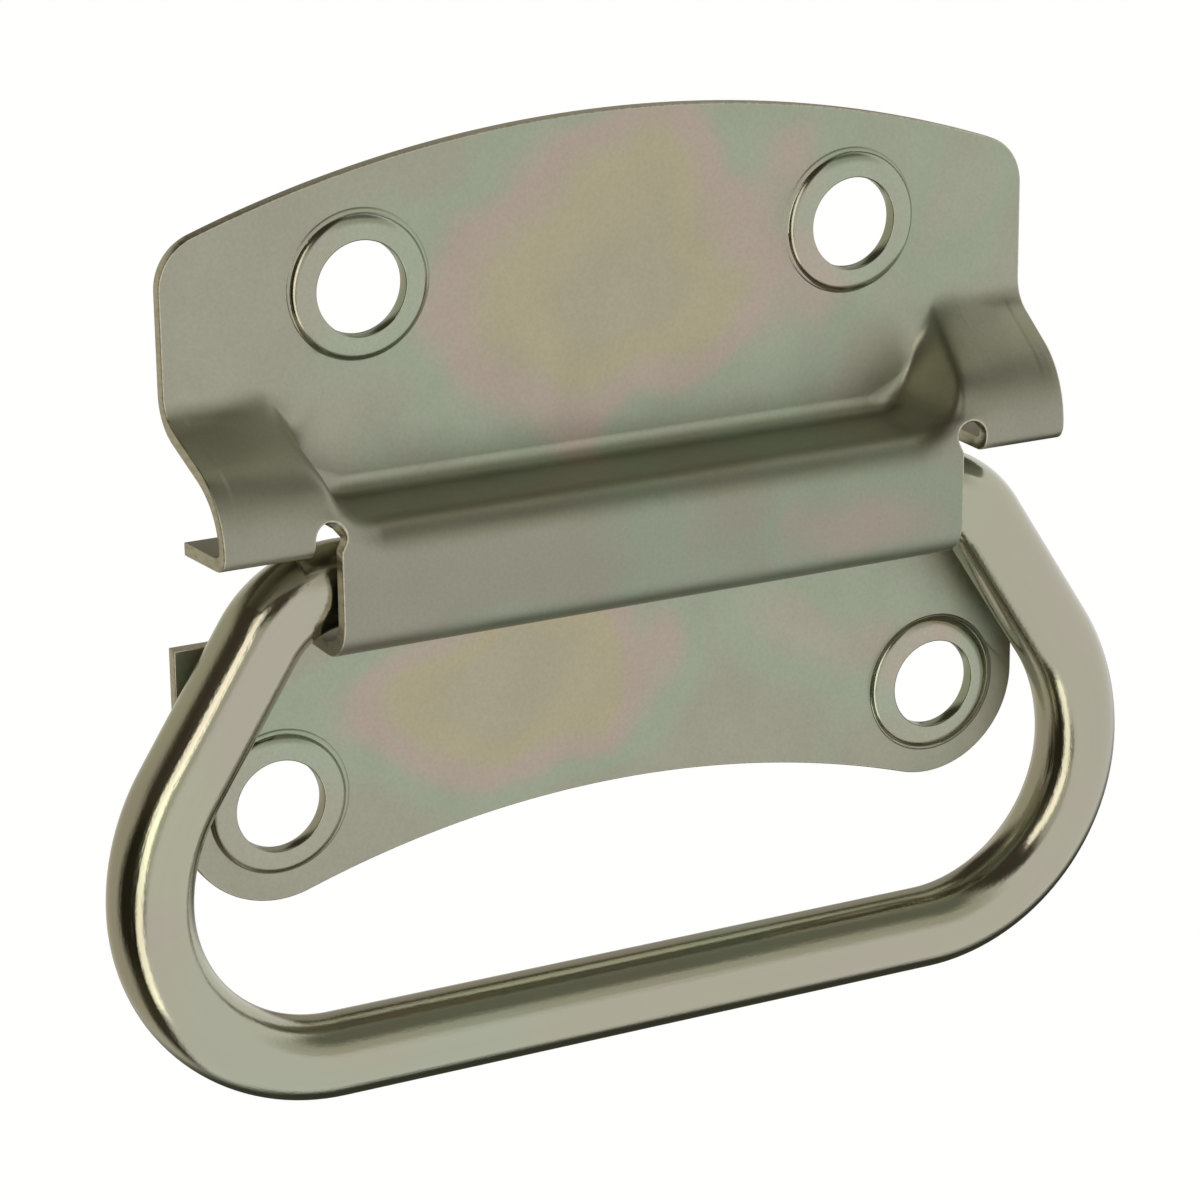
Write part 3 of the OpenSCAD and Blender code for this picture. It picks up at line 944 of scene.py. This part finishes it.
def streaks(tree, place, width_mm, stretch, detail):
    """Noise of a width in millimetres, drawn out along the axes as a tool or a die leaves it."""
    stretch_or_painted_shade = add_node(
        tree, "ShaderNodeMapping", {"Vector": place}, {"Scale": [per_mm(width_mm * s) for s in stretch]}
    )
    return add_node(
        tree, "ShaderNodeTexNoise", {"Vector": stretch_or_painted_shade.outputs[0]}, {"Scale": 1.0, "Detail": detail}
    ).outputs["Fac"]


def zinc_finish(tree, output, film, tints, satin, relief, relief_mm, shade=None):
    """Plated metal: a tint for each thickness of its film, a shade, its satin and a fine relief."""
    tint = add_node(tree, "ShaderNodeValToRGB", {"Fac": film})
    ramp = tint.color_ramp
    ramp.interpolation = "EASE"
    while len(ramp.elements) < len(tints):
        ramp.elements.new(1.0)
    for element, (thickness, hex_colour) in zip(ramp.elements, tints):
        element.position = thickness
        element.color = linear(hex_colour)
    colour = tint.outputs["Color"]
    if shade is not None:
        shaded = add_node(tree, "ShaderNodeVectorMath", {0: colour, "Scale": shade}, operation="SCALE")
        colour = shaded.outputs[0]
    bump = add_node(
        tree, "ShaderNodeBump", {"Height": relief}, {"Strength": 1.0, "Distance": relief_mm * MM}
    )
    metal = add_node(
        tree,
        "ShaderNodeBsdfPrincipled",
        {"Base Color": colour, "Roughness": satin, "Normal": bump.outputs[0]},
        {"Metallic": 1.0},
    )
    tree.links.new(metal.outputs[0], output.inputs["Surface"])


def film_pools(tree, place):
    """How thick the film is from pooling as it dried: 0 away from the pools, most in their middles."""
    deepest = None
    for middle, reach, depth in FILM_POOLS:
        away = add_node(
            tree, "ShaderNodeVectorMath", {0: place}, {1: Vector(middle) * MM}, operation="SUBTRACT"
        )
        shaped = add_node(
            tree,
            "ShaderNodeVectorMath",
            {0: away.outputs[0]},
            {1: [per_mm(r) for r in reach]},
            operation="MULTIPLY",
        )
        length = add_node(tree, "ShaderNodeVectorMath", {0: shaped.outputs[0]}, operation="LENGTH")
        pool = add_node(
            tree,
            "ShaderNodeMapRange",
            {"Value": length.outputs["Value"]},
            carried(0.0, depth, (1.0, 0.0)),
            interpolation_type="SMOOTHSTEP",
        ).outputs["Result"]
        if deepest is None:
            deepest = pool
        else:
            deepest = add_node(tree, "ShaderNodeMath", {0: deepest, 1: pool}, operation="MAXIMUM").outputs[0]
    return deepest


def wing_marks(tree, place):
    """Height of the die line inside each wing's outer edge and of the fine marks of the draw."""
    parts = add_node(tree, "ShaderNodeSeparateXYZ", {0: place})
    height = parts.outputs["Z"]
    across = add_node(tree, "ShaderNodeMath", {0: parts.outputs["X"]}, operation="ABSOLUTE").outputs[0]
    # The line keeps its distance from the side of the wing, which draws in with depth.
    side = add_node(
        tree,
        "ShaderNodeMath",
        {0: parts.outputs["Y"], 2: across},
        {1: -DIE_LINE_LEAN},
        operation="MULTIPLY_ADD",
    )
    step = add_node(
        tree,
        "ShaderNodeMapRange",
        {"Value": side.outputs[0]},
        carried(0.0, 1.0, ((DIE_LINE - DIE_LINE_W) * MM, (DIE_LINE + DIE_LINE_W) * MM)),
    )
    drag = add_node(
        tree,
        "ShaderNodeMapRange",
        {"Value": streaks(tree, place, width_mm=0.9, stretch=(1.0, 16.0, 16.0), detail=1.0)},
        carried(0.0, 0.15, (0.55, 0.75)),
    )
    marks = add_node(tree, "ShaderNodeMath", {0: step.outputs[0], 1: drag.outputs[0]}, operation="ADD")
    fades = ((height, MARKS_FROM_FOLD), (height, MARKS_FROM_FLANGE), (across, MARKS_FROM_BARREL))
    for source, (none, full) in fades:
        fade = add_node(
            tree, "ShaderNodeMapRange", {"Value": source}, carried(0.0, 1.0, (none * MM, full * MM))
        )
        marks = add_node(
            tree, "ShaderNodeMath", {0: marks.outputs[0], 1: fade.outputs[0]}, operation="MULTIPLY"
        )
    return marks.outputs[0]


def plate_zinc():
    """Zinc plate with a thin chromate film on rolled and pressed steel sheet.

    The film's thickness drifts over centimetres and pools in the middle of each flange, which
    tints the grey metal green, then pink, then straw. The rolled sheet under it gives a fine
    grain, painted shade darkens the colour the further the metal stands off the wall, and the
    punch leaves the rings shinier.
    """
    material, output = new_material("chromated_zinc_on_pressed_steel")
    tree = material.node_tree
    place = add_node(tree, "ShaderNodeTexCoord").outputs["Object"]
    cloud = add_node(
        tree,
        "ShaderNodeTexNoise",
        {"Vector": place},
        {"Scale": per_mm(FILM_DRIFT_MM), "Detail": 2.0, "Distortion": 0.5},
    )
    drift = add_node(
        tree, "ShaderNodeMapRange", {"Value": cloud.outputs["Fac"]}, carried(-FILM_DRIFT, FILM_DRIFT)
    )
    film = add_node(
        tree, "ShaderNodeMath", {0: film_pools(tree, place), 1: drift.outputs[0]}, operation="ADD"
    )
    grain = add_node(
        tree,
        "ShaderNodeTexNoise",
        {"Vector": place},
        {"Scale": per_mm(GRAIN_SIZE_MM), "Detail": 3.0, "Roughness": 0.6},
    ).outputs["Fac"]
    speckle = add_node(tree, "ShaderNodeMapRange", {"Value": grain}, carried(0.95, 1.04))
    depth = add_node(tree, "ShaderNodeSeparateXYZ", {0: place}).outputs["Y"]
    # Painted shade: the colour darkens the further the metal stands off the wall.
    stretch_or_painted_shade = add_node(
        tree,
        "ShaderNodeMapRange",
        {"Value": depth},
        carried(OFF_WALL_SHADE_DARKEST, 1.0, [-d * MM for d in OFF_WALL_SHADE_DEPTH]),
    )
    # The colour's shade: the grain's speckle times the painted shade off the wall.
    shade = add_node(
        tree, "ShaderNodeMath", {0: speckle.outputs[0], 1: stretch_or_painted_shade.outputs[0]}, operation="MULTIPLY"
    )
    patches = add_node(
        tree, "ShaderNodeTexNoise", {"Vector": place}, {"Scale": per_mm(SATIN_MM), "Detail": 2.0}
    )
    rolled = add_node(tree, "ShaderNodeMapRange", {"Value": patches.outputs["Fac"]}, carried(0.38, 0.46))
    punched = add_node(tree, "ShaderNodeAttribute", attribute_name="burnished").outputs["Fac"]
    satin = add_node(
        tree, "ShaderNodeMath", {0: punched, 2: rolled.outputs[0]}, {1: -BURNISH}, operation="MULTIPLY_ADD"
    )
    relief = add_node(
        tree,
        "ShaderNodeMath",
        {0: grain, 2: wing_marks(tree, place)},
        {1: GRAIN_MM / MARKS_MM},
        operation="MULTIPLY_ADD",
    )
    tints = (
        (0.0, "#A3A190"),
        (0.25, "#9FA793"),
        (0.5, "#B0A396"),
        (0.75, "#AEA78B"),
        (1.0, "#ABA48E"),
    )
    zinc_finish(
        tree, output, film.outputs[0], tints, satin.outputs[0], relief.outputs[0], MARKS_MM, shade.outputs[0]
    )
    return material


def edge_zinc():
    """Zinc on the sheared edge of the sheet: a paler, torn band that catches the light."""
    material, output = new_material("zinc_on_sheared_edge")
    tree = material.node_tree
    place = add_node(tree, "ShaderNodeTexCoord").outputs["Object"]
    torn = streaks(tree, place, width_mm=0.4, stretch=(1.0, 3.0, 1.0), detail=3.0)
    satin = add_node(tree, "ShaderNodeMapRange", {"Value": torn}, carried(0.28, 0.42))
    tints = ((0.3, "#A8A38F"), (0.7, "#C4BFAC"))
    zinc_finish(tree, output, torn, tints, satin.outputs[0], torn, relief_mm=0.015)
    return material


def rod_zinc():
    """Bright zinc on drawn round rod: near mirror bright, with faint lines along the draw.

    The lines lie in the coordinates of the straight rod, so they follow every bend. Real ones are
    finer than the render shows, so they are drawn coarser.
    """
    material, output = new_material("bright_zinc_on_drawn_rod")
    tree = material.node_tree
    place = add_node(tree, "ShaderNodeAttribute", attribute_name="straight_rod").outputs["Vector"]
    lines = streaks(tree, place, width_mm=0.35, stretch=(1.0, 1.0, 60.0), detail=3.0)
    grain = streaks(tree, place, width_mm=0.3, stretch=(1.0, 1.0, 1.6), detail=3.0)
    cloud = streaks(tree, place, width_mm=14.0, stretch=(1.0, 1.0, 1.6), detail=1.0)
    film = add_node(tree, "ShaderNodeMapRange", {"Value": cloud}, carried(0.0, 1.0))
    satin = add_node(tree, "ShaderNodeMapRange", {"Value": lines}, carried(0.1, 0.2))
    relief = add_node(tree, "ShaderNodeMath", {0: lines, 1: grain}, operation="ADD")
    tints = ((0.0, "#A9AC99"), (0.35, "#ACAA96"), (0.65, "#ADA898"), (1.0, "#ACAC97"))
    zinc_finish(tree, output, film.outputs[0], tints, satin.outputs[0], relief.outputs[0], relief_mm=0.011)
    return material


def main():
    """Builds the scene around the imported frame."""
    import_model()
    cad_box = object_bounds()
    scene = bpy.context.scene
    scene.view_settings.view_transform = "Standard"
    make_camera()
    make_world()
    make_soft_box()
    make_floor(cad_box[0].z)
    make_plate([plate_zinc(), edge_zinc()])
    make_bail(rod_zinc())


main()
